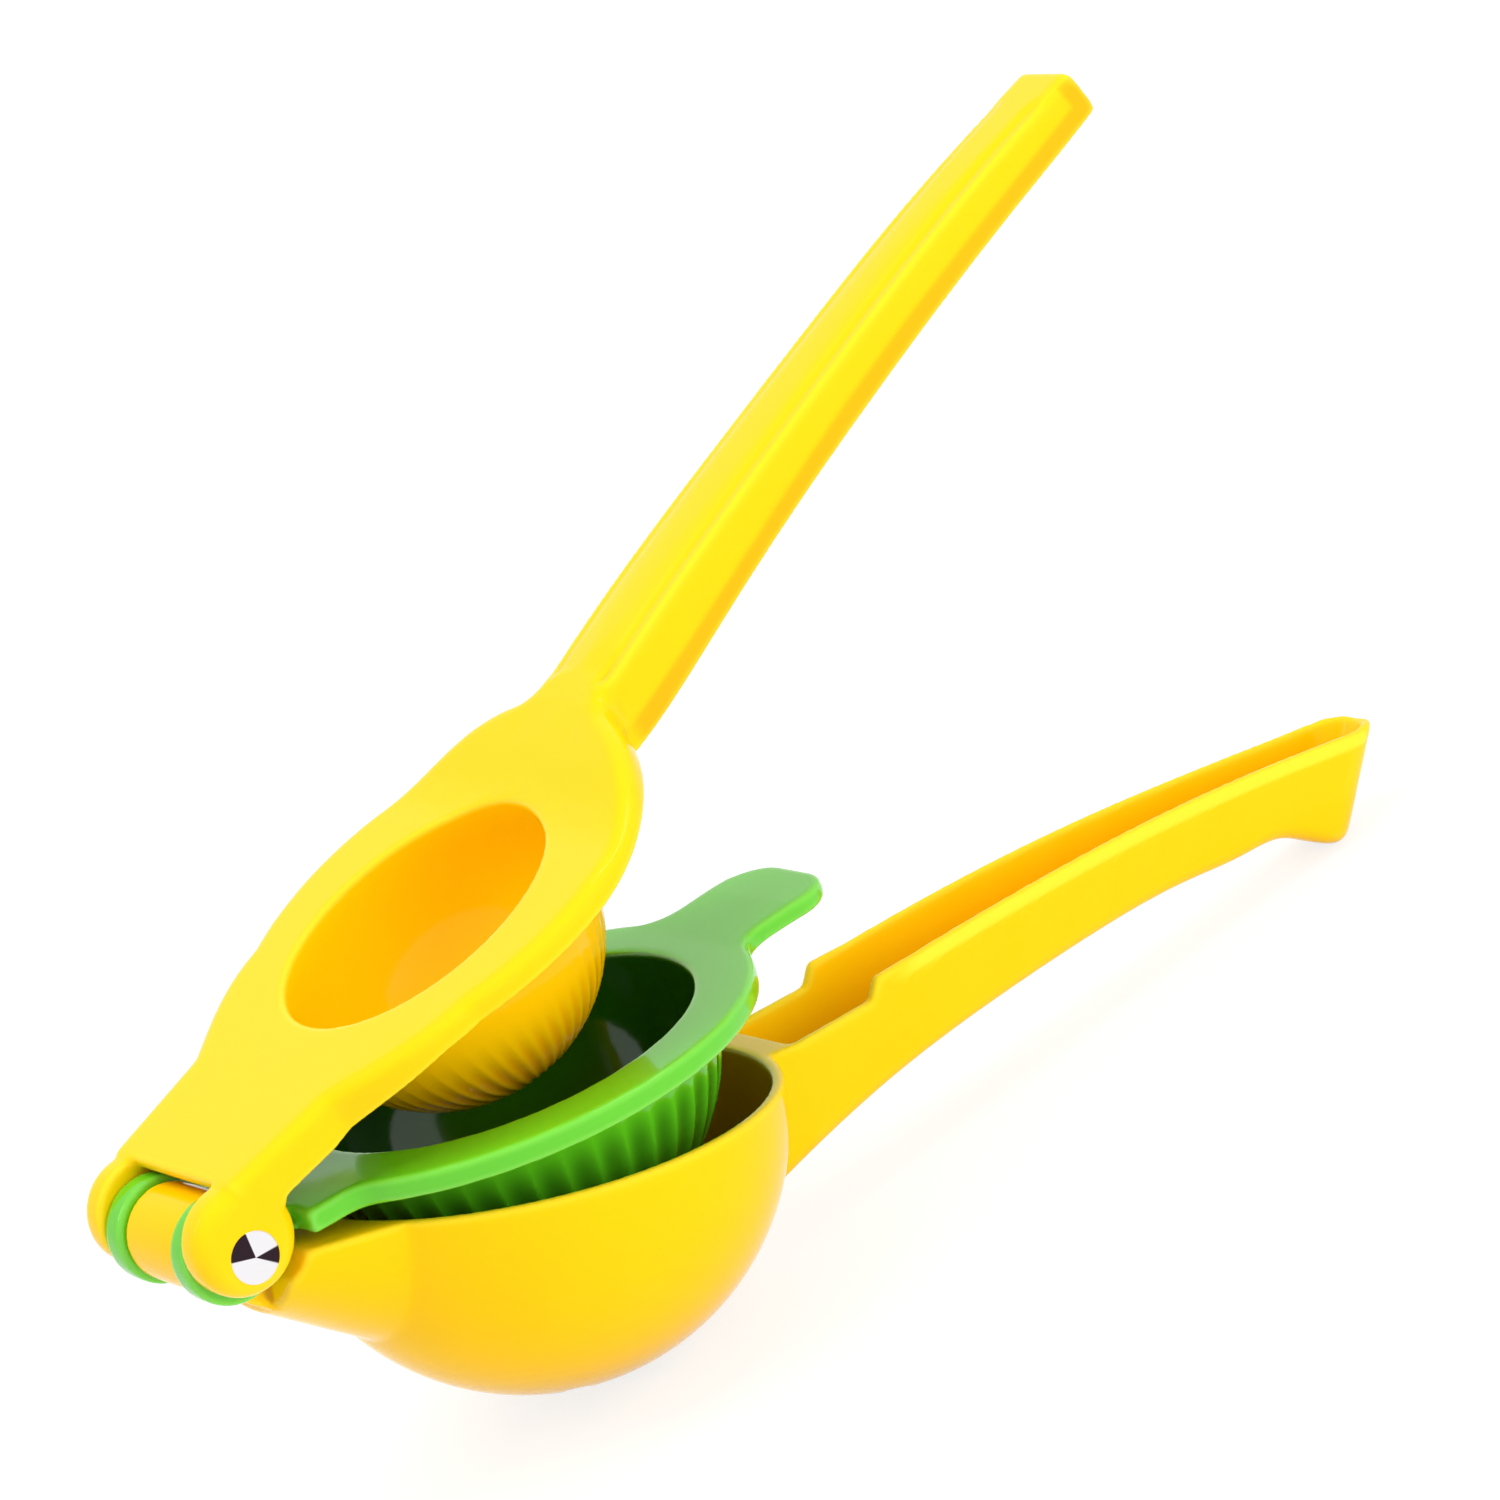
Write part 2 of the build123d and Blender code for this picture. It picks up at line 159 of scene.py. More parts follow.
def peel_and_painted_light_group():
    """The enamel's fine orange peel and slow waviness as a height, and its colour with painted highlight and
    shade.

    The colour is lighter over edges as a painted highlight, and darker as a painted shade in creases, in the
    valleys between flutes and in the round hollow about Centre, with a little random unevenness of tone.
    """
    tree, given, result = new_tree("enamel peel and painted light", "ShaderNodeTree")
    socket(tree, "Body", "NodeSocketColor", (0.9, 0.6, 0.01, 1))
    socket(tree, "Edge", "NodeSocketColor", (1, 0.8, 0.1, 1))
    socket(tree, "Deep", "NodeSocketColor", (0.6, 0.2, 0.0, 1))
    socket(tree, "Edge Share", "NodeSocketFloat", 0.5)
    socket(tree, "Crease Share", "NodeSocketFloat", 0.5)
    socket(tree, "Valley Share", "NodeSocketFloat", 0.5)
    socket(tree, "Hollow Share", "NodeSocketFloat", 0.5)
    socket(tree, "Centre", "NodeSocketVector")
    socket(tree, "Radius", "NodeSocketFloat", 0.03)
    socket(tree, "Peel Pitch", "NodeSocketFloat", 2.2)
    socket(tree, "Peel Height", "NodeSocketFloat", 0.5)
    socket(tree, "Wave Pitch", "NodeSocketFloat", 16.0)
    socket(tree, "Uneven Share", "NodeSocketFloat", 0.075)
    socket(tree, "Color", "NodeSocketColor", out=True)
    socket(tree, "Height", "NodeSocketFloat", out=True)
    calc = partial(number, tree)
    given = given.outputs

    place = put(tree, "ShaderNodeTexCoord").outputs["Object"]
    in_mm = scaled(tree, place, 1 / MM)
    peel_scale = calc("DIVIDE", 1.0, given["Peel Pitch"])
    wave_scale = calc("DIVIDE", 1.0, given["Wave Pitch"])
    peel = put(tree, "ShaderNodeTexNoise", Vector=in_mm, Scale=peel_scale, Detail=1.5, Roughness=0.4)
    wave = put(tree, "ShaderNodeTexNoise", Vector=in_mm, Scale=wave_scale, Detail=2.0, Roughness=0.5)
    peel_height = calc("MULTIPLY", peel.outputs["Fac"], given["Peel Height"])
    tree.links.new(calc("ADD", peel_height, wave.outputs["Fac"]), result.inputs["Height"])

    # The third attribute holds the painted shade (up to 1) or painted highlight (down to -1) stored with the
    # casting
    bend, valley, painted_light = (
        put(tree, "ShaderNodeAttribute", {"attribute_name": name}).outputs["Fac"]
        for name in ("bend", "valley", "painted_light")
    )
    from_centre = vector(tree, "DISTANCE", place, given["Centre"])
    hollow_start = calc("ADD", given["Radius"], HOLLOW_START)
    hollow_full = calc("ADD", given["Radius"], HOLLOW_FULL)
    in_hollow = ramp(tree, from_centre, hollow_start, hollow_full)
    shade_share = calc("MULTIPLY", in_hollow, given["Hollow Share"])
    in_crease = ramp(tree, bend, *CREASE_BEND)
    shade_share = calc("MAXIMUM", shade_share, calc("MULTIPLY", in_crease, given["Crease Share"]))
    shade_share = calc("MAXIMUM", shade_share, calc("MULTIPLY", valley, given["Valley Share"]))
    shade_share = calc("MAXIMUM", shade_share, painted_light)
    uneven = calc("MULTIPLY", calc("SUBTRACT", wave.outputs["Fac"], 0.5), given["Uneven Share"])
    shade_share = calc("ADD", shade_share, uneven)
    shade_share.node.use_clamp = True
    # Painted shade: the body colour darkens towards the shade colour by this share
    color = blend(tree, shade_share, given["Body"], given["Deep"])
    # Painted highlight: edges and the bands marked by the attribute turn towards the pale edge colour
    over_edge = ramp(tree, bend, *EDGE_BEND)
    highlight_share = calc("MAXIMUM", calc("MULTIPLY", over_edge, given["Edge Share"]), calc("MULTIPLY", painted_light, -1.0))
    tree.links.new(blend(tree, highlight_share, color, given["Edge"]), result.inputs["Color"])
    return tree


PEEL_AND_PAINTED_LIGHT = peel_and_painted_light_group()


def enamel(name, roughness, specular, **peel_and_light_inputs):
    """Glossy enamel over a casting, with its own values for the peel and for the painted highlight and
    shade.
    """
    material = bpy.data.materials.new(name)
    material.use_nodes = True
    tree = material.node_tree
    gloss = tree.nodes["Principled BSDF"]
    painted_light = put(tree, "ShaderNodeGroup", {"node_tree": PEEL_AND_PAINTED_LIGHT}, **peel_and_light_inputs)
    tree.links.new(painted_light.outputs["Color"], gloss.inputs["Base Color"])
    bump = put(tree, "ShaderNodeBump", Strength=0.12, Distance=0.05 * MM, Height=painted_light.outputs["Height"])
    tree.links.new(bump.outputs["Normal"], gloss.inputs["Normal"])
    gloss.inputs["Roughness"].default_value = roughness
    gloss.inputs["Specular IOR Level"].default_value = specular
    return material


# Pale yellow of the painted highlight over edges
EDGE_HIGHLIGHT_YELLOW = (1.0, 0.80, 0.04, 1)

# The bowl arm's painted shade darkens its bowl's hollow and its creases to brown; its edges take a painted
# highlight
bowl_enamel = enamel(
    "yellow_enamel_bowl_arm", roughness=0.12, specular=0.08,
    Body=(1.0, 0.595, 0.001, 1), Edge=EDGE_HIGHLIGHT_YELLOW, Deep=(0.45, 0.115, 0.0, 1),
    Edge_Share=0.4, Crease_Share=0.6, Valley_Share=0.5, Hollow_Share=0.78,
    Centre=in_arm(BOWL_TILT, *BOWL_CENTRE), Radius=BOWL_HOLLOW * MM,
)
# The press arm's painted shade turns its creases, the dome's flute valleys, a little of its dish, its
# handle's bottom strips and the dome's lower outside orange; its edges take a painted highlight
press_enamel = enamel(
    "yellow_enamel_press_arm", roughness=0.10, specular=0.12,
    Body=(1.0, 0.625, 0.001, 1), Edge=EDGE_HIGHLIGHT_YELLOW, Deep=(0.92, 0.27, 0.0, 1),
    Edge_Share=0.4, Crease_Share=0.35, Valley_Share=0.6, Hollow_Share=0.04,
    Centre=in_arm(PRESS_TILT, *DOME_CENTRE), Radius=DOME_HOLLOW * MM,
)
# The lime cup's painted shade darkens the inside of its cup, its creases and its flute valleys nearly to
# black; its edges take a painted highlight
lime_enamel = enamel(
    "green_enamel_lime_cup", roughness=0.08, specular=0.5,
    Body=(0.115, 0.57, 0.012, 1), Edge=(0.22, 0.72, 0.06, 1), Deep=(0.006, 0.068, 0.001, 1),
    Edge_Share=0.6, Crease_Share=0.6, Valley_Share=0.6, Hollow_Share=0.95,
    Centre=in_arm(LIME_TILT, *LIME_CENTRE), Radius=LIME_HOLLOW * MM,
)


def turned_steel(*reflection_fans):
    """A turned pin face: fine rings as a bump, and a painted reflection in its colour: two dark fans that
    open from its axis between bright ones.

    Each fan is the direction of its middle, in degrees from +X towards +Z, and its half width.
    """
    material = bpy.data.materials.new("turned_steel")
    material.use_nodes = True
    tree = material.node_tree
    steel = tree.nodes["Principled BSDF"]
    calc = partial(number, tree)
    place = put(tree, "ShaderNodeTexCoord").outputs["Object"]
    x, _, z = put(tree, "ShaderNodeSeparateXYZ", _0=vector(tree, "SUBTRACT", place, HINGE)).outputs
    on_face = put(tree, "ShaderNodeCombineXYZ", X=x, Z=z).outputs[0]
    heading = vector(tree, "NORMALIZE", on_face)

    edge_softness = 0.012
    reflection_fan_masks = []
    for middle, half_width in reflection_fans:
        turn = math.radians(middle)
        nearness = vector(tree, "DOT_PRODUCT", heading, (math.cos(turn), 0, math.sin(turn)))
        edge = math.cos(math.radians(half_width))
        within = put(
            tree, "ShaderNodeMapRange", _0=nearness, _1=edge - edge_softness, _2=edge + edge_softness
        )
        reflection_fan_masks.append(within.outputs[0])
    dark_reflection = calc("MAXIMUM", *reflection_fan_masks)
    # Painted reflection: dark fans on bright steel in the base colour
    color = blend(tree, dark_reflection, (0.86, 0.84, 0.87, 1), (0.035, 0.020, 0.028, 1))
    tree.links.new(color, steel.inputs["Base Color"])
    steel.inputs["Metallic"].default_value = 1.0
    steel.inputs["Roughness"].default_value = 0.3

    radius = calc("DIVIDE", vector(tree, "LENGTH", on_face), MM)
    rings = put(tree, "ShaderNodeTexNoise", {"noise_dimensions": "1D"}, W=radius, Scale=6.0, Detail=2.0)
    bump = put(tree, "ShaderNodeBump", Strength=0.2, Distance=0.01 * MM, Height=rings.outputs["Fac"])
    tree.links.new(bump.outputs["Normal"], steel.inputs["Normal"])
    return material


# The pin's painted reflection: one dark fan up and to the left, one to the right
pin_steel = turned_steel((123.0, 36.0), (-25.0, 20.0))


# ------------------------------------------------------ solids with soft edges

# The distance field's cell in mm, and in cells its depth on each side of the surface and its empty margin
CELL = 0.45
BAND = 6.0
MARGIN = 3

# In mm: the spread of the blur that rounds the edges, and how far the surface then moves out again
SPREAD = 0.42
SWELL = 0.02


def smooth_step(values, start, end):
    """From 0 at start to 1 at end, with soft ends."""
    share = numpy.clip((values - start) / (end - start), 0, 1)
    return share * share * (3 - 2 * share)


def clean_copy(node, name):
    """The node's own solid as a new mesh, its split vertices joined."""
    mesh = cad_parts[node].data.copy()
    mesh.name = name
    mesh.materials.clear()
    work = bmesh.new()
    work.from_mesh(mesh)
    bmesh.ops.remove_doubles(work, verts=work.verts, dist=0.001 * MM)
    work.to_mesh(mesh)
    work.free()
    return mesh


def distance_field(mesh):
    """Distances in mm from a solid's surface, negative inside, and the number of the field's first cell."""
    mesh.calc_loop_triangles()
    points = numpy.empty(len(mesh.vertices) * 3, dtype=numpy.float32)
    mesh.vertices.foreach_get("co", points)
    corners = numpy.empty(len(mesh.loop_triangles) * 3, dtype=numpy.uint32)
    mesh.loop_triangles.foreach_get("vertices", corners)
    grid = openvdb.FloatGrid.createLevelSetFromPolygons(
        points.reshape(-1, 3) / MM, triangles=corners.reshape(-1, 3),
        transform=openvdb.createLinearTransform(voxelSize=CELL), halfWidth=BAND,
    )
    low, high = grid.evalActiveVoxelBoundingBox()
    first = numpy.array(low) - MARGIN
    values = numpy.zeros(numpy.array(high) - first + MARGIN + 1, dtype=numpy.float32)
    grid.copyToArray(values, ijk=tuple(int(i) for i in first))
    return values, first


def blurred(values, spread):
    """A field averaged with a bell curve of this spread, in mm, along each of its axes."""
    cells = spread / CELL
    reach = math.ceil(3 * cells)
    weights = [math.exp(-0.5 * (i / cells) ** 2) for i in range(-reach, reach + 1)]
    for axis in range(3):
        mean = numpy.zeros_like(values)
        for i, weight in zip(range(-reach, reach + 1), weights):
            mean += numpy.roll(values, i, axis=axis) * (weight / sum(weights))
        values = mean
    return values


def read_field(values, places):
    """The field's value at each place, given in cells, by the eight cells round it."""
    base = numpy.floor(places).astype(int)
    share = (places - base).astype(numpy.float32)
    total = numpy.zeros(len(places), dtype=numpy.float32)
    for corner in range(8):
        step = numpy.array([corner & 1, corner >> 1 & 1, corner >> 2 & 1])
        weight = numpy.prod(numpy.where(step, share, 1 - share), axis=1)
        spot = (base + step).T
        total += values[spot[0], spot[1], spot[2]] * weight
    return total


def field_surface(values, first):
    """Corners, in cells from the first one, and quads of the surface where a field is 0, and its bend."""
    grid = openvdb.FloatGrid(BAND * CELL)
    grid.copyFromArray(values, ijk=tuple(int(i) for i in first))
    grid.gridClass = openvdb.GridClass.LEVEL_SET
    places, quads = grid.convertToQuads(isovalue=0.0)
    places = places.astype(numpy.float32) - first
    slopes = numpy.gradient(values)
    for _ in range(2):
        slope = numpy.stack([read_field(part, places) for part in slopes], axis=1)
        error = read_field(values, places)
        places -= slope * (error / numpy.maximum((slope**2).sum(axis=1), 0.01))[:, None]
    bend = sum(numpy.gradient(part, axis=axis) for axis, part in enumerate(slopes)) / CELL**2
    return places, quads, read_field(bend, places)


def quad_mesh(name, corners, quads):
    """A mesh of quads between corners given in mm."""
    mesh = bpy.data.meshes.new(name)
    mesh.vertices.add(len(corners))
    mesh.vertices.foreach_set("co", (corners * MM).astype(numpy.float32).ravel())
    mesh.loops.add(len(quads) * 4)
    mesh.loops.foreach_set("vertex_index", quads[:, ::-1].astype(numpy.int32).ravel())
    mesh.polygons.add(len(quads))
    mesh.polygons.foreach_set("loop_start", numpy.arange(0, len(quads) * 4, 4, dtype=numpy.int32))
    mesh.update(calc_edges=True)
    mesh.validate()
    return mesh


def store(mesh, name, values):
    """Keeps a number with each of the mesh's vertices."""
    kept = mesh.attributes.new(name, "FLOAT", "POINT")
    kept.data.foreach_set("value", values.astype(numpy.float32))


def softened(mesh, name, tilt, shape=None, soft_spot=None, painted_light=None):
    """The solid with rounded edges: its distance field is blurred and meshed again.

    Shape changes the field before the blur, from the distances and the places in the arm's own frame.
    Soft spot is an (along, y, off, radius, spread) ball there in which the edges are rounder, in mm.
    The last argument gives the painted shade (up to 1) or painted highlight (down to -1) at a place.
    """
    values, first = distance_field(mesh)
    x, y, z = ((numpy.arange(count) + start) * CELL for count, start in zip(values.shape, first))
    x, y, z = x[:, None, None] - HINGE.x / MM, y[None, :, None], z[None, None, :] - HINGE.z / MM
    along, off = from_hinge(x, z, tilt)
    if shape:
        values = shape(values, along, y, off).astype(numpy.float32)
    soft = blurred(values, SPREAD)
    if soft_spot:
        spot_along, spot_y, spot_off, radius, spread = soft_spot
        distance = numpy.sqrt((along - spot_along) ** 2 + (y - spot_y) ** 2 + (off - spot_off) ** 2)
        share = smooth_step(distance, radius, radius / 2).astype(numpy.float32)
        soft += share * (blurred(values, spread) - soft)
    soft -= SWELL
    places, quads, bend = field_surface(soft, first)
    corners = (places + first) * CELL
    rebuilt = quad_mesh(name, corners, quads)
    store(rebuilt, "bend", bend)
    if painted_light:
        x, y, z = (corners - numpy.array(HINGE) / MM).T
        along, off = from_hinge(x, z, tilt)
        # Keeps the painted highlight and shade at each corner
        store(rebuilt, "painted_light", painted_light(along, y, off))
    return rebuilt


# ----------------------------------------------------------------- the handles

# Handle lines in each arm's own frame, in mm: distance from the hinge against height or half-width
LOWER_TOP = ((111.2, 2.7), (117.3, 3.7), (143, 7.5), (170, 10.0), (192, 10.9), (208, 11.1), (216, 12.9))
LOWER_FLANK = ((64, 11.6), (112, 9.7), (145, 8.9), (178, 7.3), (207, 7.1))
PRESS_TOP = ((91, 15.9), (105, 18.8), (122, 21.5), (146, 24.6), (170, 27.5), (193, 29.3), (213.2, 29.8))
PRESS_BOTTOM = ((91, 5.7), (105, 7.7), (122, 11.3), (146, 15.4), (170, 18.6), (193, 20.9), (213.2, 22.7))
PRESS_FLAT = ((91, 6.6), (105, 6.6), (122, 6.4), (146, 5.9), (170, 5.5), (193, 5.1), (213.2, 4.9))

# The lower handle's channel and its round nose, whose end leans back by the rake below its top
CHANNEL_START = 111
WALL_ROUNDING = 1.5
TOP_STRAIGHT_FROM = 192
NOSE_RAKE = 0.54
NOSE_TOP = 11.3
NOSE_FROM = 206.3
NOSE_CENTRE = 206.26
NOSE_RADIUS = 7.14

# A ball round the lobe under the nose, in which edges are rounder: its middle, radius and blur
LOBE_SOFT_SPOT = (202, 0, -5, 8, 0.9)

# The ears' pin recesses are filled behind the pin's head and cap: middle and half depth of each, and radius
RECESS_MIDDLE = 14.475
RECESS_HALF_DEPTH = 3.475
RECESS_RADIUS = 4.0

# The press handle's shoulders fall off from its crown to a groove beside it, between these ends
SHOULDER_SLOPE = math.radians(6)
CROWN_HALF_WIDTH = 2.2
GROOVE_RADIUS = 1.6
GROOVE_INSET = 0.1
GROOVE_RISE = 0.75
GROOVE_START = (92, 97)
GROOVE_END = (212, 204)

# A distance so far inside that it cuts nothing
NO_CUT = -9.0

# How strong the painted highlight is in a band under the lower handle's edges, and how strong the painted
# shade is in the press handle's strips and on the dome
EDGE_BAND_HIGHLIGHT = -0.8
STRIP_SHADE = 0.45
DOME_LOW_SHADE = 0.3


def along_line(line, x, straight_from=math.inf):
    """A smooth curve through a line's points, read at each x, and straight runs past straight_from."""
    places, heights = zip(*line)
    curved = [point for point in line if point[0] <= straight_from]
    smooth = numpy.polyval(numpy.polyfit(*zip(*curved), min(4, len(curved) - 1)), x)
    return numpy.where(x > straight_from, numpy.interp(x, places, heights), smooth)


def rounded_channel(values, x, y, z):
    """The lower handle's channel walls, rounded over towards their outside."""
    radius = WALL_ROUNDING * smooth_step(x, CHANNEL_START, CHANNEL_START + 7) + 0.01
    raked = x + NOSE_RAKE * (NOSE_TOP - z)
    nose = numpy.hypot(raked - NOSE_CENTRE, y) - NOSE_RADIUS
    side = numpy.where(raked > NOSE_FROM, nose, abs(y) - along_line(LOWER_FLANK, raked))
    over_side = side + radius
    over_top = z - along_line(LOWER_TOP, x, TOP_STRAIGHT_FROM) + radius
    corner = numpy.hypot(numpy.maximum(over_side, 0), numpy.maximum(over_top, 0)) - radius
    near = (over_side > 0) & (over_top > 0) & (x > CHANNEL_START) & (side < 3) & (over_top < 6)
    return numpy.where(near, numpy.maximum(values, corner), values)


def creased_handle(values, x, y, z):
    """The press arm without its pin recesses, and with a crease along both of its handle's shoulders."""
    in_ear = abs(abs(y) - RECESS_MIDDLE) - RECESS_HALF_DEPTH
    values = numpy.minimum(values, numpy.maximum(numpy.hypot(x, z) - RECESS_RADIUS, in_ear))
    top = along_line(PRESS_TOP, x)
    run = smooth_step(x, *GROOVE_START) * smooth_step(x, *GROOVE_END)
    fade = 1 - run
    fall = (abs(y) - CROWN_HALF_WIDTH) * math.sin(SHOULDER_SLOPE)
    shoulder = (z - top) * math.cos(SHOULDER_SLOPE) + fall - 2 * fade
    beside = abs(y) - along_line(PRESS_FLAT, x) + GROOVE_INSET
    groove = GROOVE_RADIUS - numpy.hypot(beside, z - top - GROOVE_RISE - 1.5 * fade)
    values = numpy.maximum(values, numpy.where((run > 0) & (z > top - 3), shoulder, NO_CUT))
    return numpy.maximum(values, numpy.where(run > 0, groove, NO_CUT))


def lower_arm_painted_highlight(x, y, z):
    """A painted highlight in a band under the lower handle's top edges."""
    below_top = along_line(LOWER_TOP, x, TOP_STRAIGHT_FROM) - z
    outside = abs(y) - along_line(LOWER_FLANK, x)
    band = smooth_step(below_top, 0.2, 0.6) * smooth_step(below_top, 2.7, 2.0)
    return EDGE_BAND_HIGHLIGHT * band * smooth_step(x, 112, 120) * smooth_step(outside, -1.4, -1.0)


def press_arm_painted_shade(x, y, z):
    """Painted shade on the dome's lower outside, along the bottom edges of the press handle and round its
    tip.
    """
    outside = abs(y) - along_line(PRESS_FLAT, x)
    low = smooth_step(z - along_line(PRESS_BOTTOM, x), 3.8, 2.8) * smooth_step(x, 93, 96)
    tip = smooth_step(x, 209.4, 210.4)
    strips = STRIP_SHADE * numpy.maximum(low, tip) * smooth_step(outside, 0.8, 1.4)
    centre_x, centre_z = DOME_CENTRE
    from_centre = numpy.sqrt((x - centre_x) ** 2 + y**2 + (z - centre_z) ** 2)
    outer_side = smooth_step(from_centre, 22.6, 23.4) * (from_centre < 26)
    return numpy.maximum(strips, DOME_LOW_SHADE * smooth_step(z, 6.0, 0.0) * outer_side)


# ------------------------------------------------------------------ the flutes

# Flutes move only a cup's outer skin: from nothing this far inside its radius to fully this far inside it
SKIN_START = 1.3 * MM
SKIN_FULL = 0.6 * MM


def flute_tree():
    """Concave flutes down the outside of a round cup, fading out under its rim and at its foot."""
    tree, given, result = new_tree("cup flutes", "GeometryNodeTree")
    socket(tree, "Geometry", "NodeSocketGeometry")
    socket(tree, "Centre", "NodeSocketVector")
    socket(tree, "Tilt", "NodeSocketFloat", 0.0)
    socket(tree, "Radius", "NodeSocketFloat", 0.03)
    socket(tree, "Flutes", "NodeSocketFloat", 40.0)
    socket(tree, "Phase", "NodeSocketFloat", 0.0)
    socket(tree, "Depth", "NodeSocketFloat", 0.0005)
    socket(tree, "Top", "NodeSocketFloat", -0.003)
    socket(tree, "Full", "NodeSocketFloat", -0.010)
    socket(tree, "Foot", "NodeSocketFloat", 0.012)
    socket(tree, "Foot Fade", "NodeSocketFloat", 0.005)
    socket(tree, "Enamel", "NodeSocketMaterial")
    socket(tree, "Geometry", "NodeSocketGeometry", out=True)
    calc = partial(number, tree)
    given = given.outputs

    position = put(tree, "GeometryNodeInputPosition").outputs[0]
    outward = vector(tree, "SUBTRACT", position, given["Centre"])
    levelled = put(
        tree, "ShaderNodeVectorRotate", {"rotation_type": "AXIS_ANGLE"},
        Vector=outward, Axis=(0, 1, 0), Angle=given["Tilt"],
    )
    x, y, z = put(tree, "ShaderNodeSeparateXYZ", _0=levelled.outputs[0]).outputs
    turns = calc("DIVIDE", calc("ARCTAN2", y, x), 2 * math.pi)
    counted = calc("ADD", calc("MULTIPLY", turns, given["Flutes"]), 100.0)
    across = calc("FRACT", calc("SUBTRACT", counted, given["Phase"]))
    valley = calc("MULTIPLY", calc("MULTIPLY", across, calc("SUBTRACT", 1.0, across)), 4.0)

    under_rim = ramp(tree, z, given["Top"], given["Full"])
    from_axis = calc("SQRT", calc("ADD", calc("MULTIPLY", x, x), calc("MULTIPLY", y, y)))
    clear_of_foot = ramp(tree, from_axis, given["Foot"], calc("ADD", given["Foot"], given["Foot Fade"]))
    distance = vector(tree, "LENGTH", outward)
    skin_start = calc("SUBTRACT", given["Radius"], SKIN_START)
    skin_full = calc("SUBTRACT", given["Radius"], SKIN_FULL)
    on_outside = ramp(tree, distance, skin_start, skin_full)
    on_cup = calc("LESS_THAN", distance, calc("ADD", given["Radius"], SKIN_FULL))
    share = calc("MULTIPLY", under_rim, clear_of_foot)
    share = calc("MULTIPLY", calc("MULTIPLY", share, on_outside), on_cup)
    carved = calc("MULTIPLY", share, valley)
    inward = calc("MULTIPLY", calc("MULTIPLY", carved, given["Depth"]), -1.0)
    step = scaled(tree, vector(tree, "NORMALIZE", outward), inward)

    kept = put(
        tree, "GeometryNodeStoreNamedAttribute", {"data_type": "FLOAT", "domain": "POINT"},
        Geometry=given["Geometry"], Name="valley", Value=carved,
    )
    moved = put(tree, "GeometryNodeSetPosition", Geometry=kept.outputs[0], Offset=step)
    real = put(tree, "GeometryNodeRealizeInstances", Geometry=moved.outputs[0])
    painted = put(tree, "GeometryNodeSetMaterial", Geometry=real.outputs[0], Material=given["Enamel"])
    tree.links.new(painted.outputs[0], result.inputs["Geometry"])
    return tree


FLUTES = flute_tree()


def add_flutes(piece, inputs):
    """The flute tree on a piece, its named inputs set by their identifiers."""
    modifier = piece.modifiers.new("flutes", "NODES")
    modifier.node_group = FLUTES
    names = {item.name: item.identifier for item in FLUTES.interface.items_tree if item.in_out == "INPUT"}
    for name, value in inputs.items():
        modifier[names[name]] = value


# ---------------------------------------------------------------- the castings

MOST_TRIANGLES = 190000

LIME_FLUTES = 40.0
DOME_FLUTES = 52.0

# The lime cup's flutes are turned back by this many degrees, given as a share of one flute
LIME_FLUTE_TURN = 2.2
LIME_PHASE = -LIME_FLUTE_TURN / (360 / LIME_FLUTES)


def casting(name, node, body, material, tilt, shape=None, soft_spot=None, painted_light=None, flutes=None):
    """A cast piece with soft edges, made from the node's own solid, with flutes where it has them.

    The bands of painted highlight and painted shade keep all their vertices, so that their edges stay sharp
    where faces are saved.
    """
    mesh = softened(clean_copy(node, name + "_solid"), name, tilt, shape, soft_spot, painted_light)
    rough = bpy.data.objects.new(name + "_rough", mesh)
    scene.collection.objects.link(rough)
    if flutes:
        add_flutes(rough, flutes)
    fewer = rough.modifiers.new("fewer faces", "DECIMATE")
    fewer.ratio = min(1.0, MOST_TRIANGLES / (2 * len(mesh.polygons)))
    if painted_light:
        values = numpy.empty(len(mesh.vertices), dtype=numpy.float32)
        mesh.attributes["painted_light"].data.foreach_get("value", values)
        banded = rough.vertex_groups.new(name="banded")
        banded.add(numpy.nonzero(abs(values) > 0.001)[0].tolist(), 1.0, "REPLACE")
        fewer.vertex_group = banded.name
        fewer.invert_vertex_group = True
    mesh = bpy.data.meshes.new_from_object(rough.evaluated_get(bpy.context.evaluated_depsgraph_get()))
    bpy.data.objects.remove(rough)
    mesh.materials.clear()
    mesh.materials.append(material)
    mesh.polygons.foreach_set("material_index", [0] * len(mesh.polygons))
    mesh.shade_smooth()
    piece = bpy.data.objects.new(name, mesh)
    scene.collection.objects.link(piece)
    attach(piece, body)
    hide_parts(node)


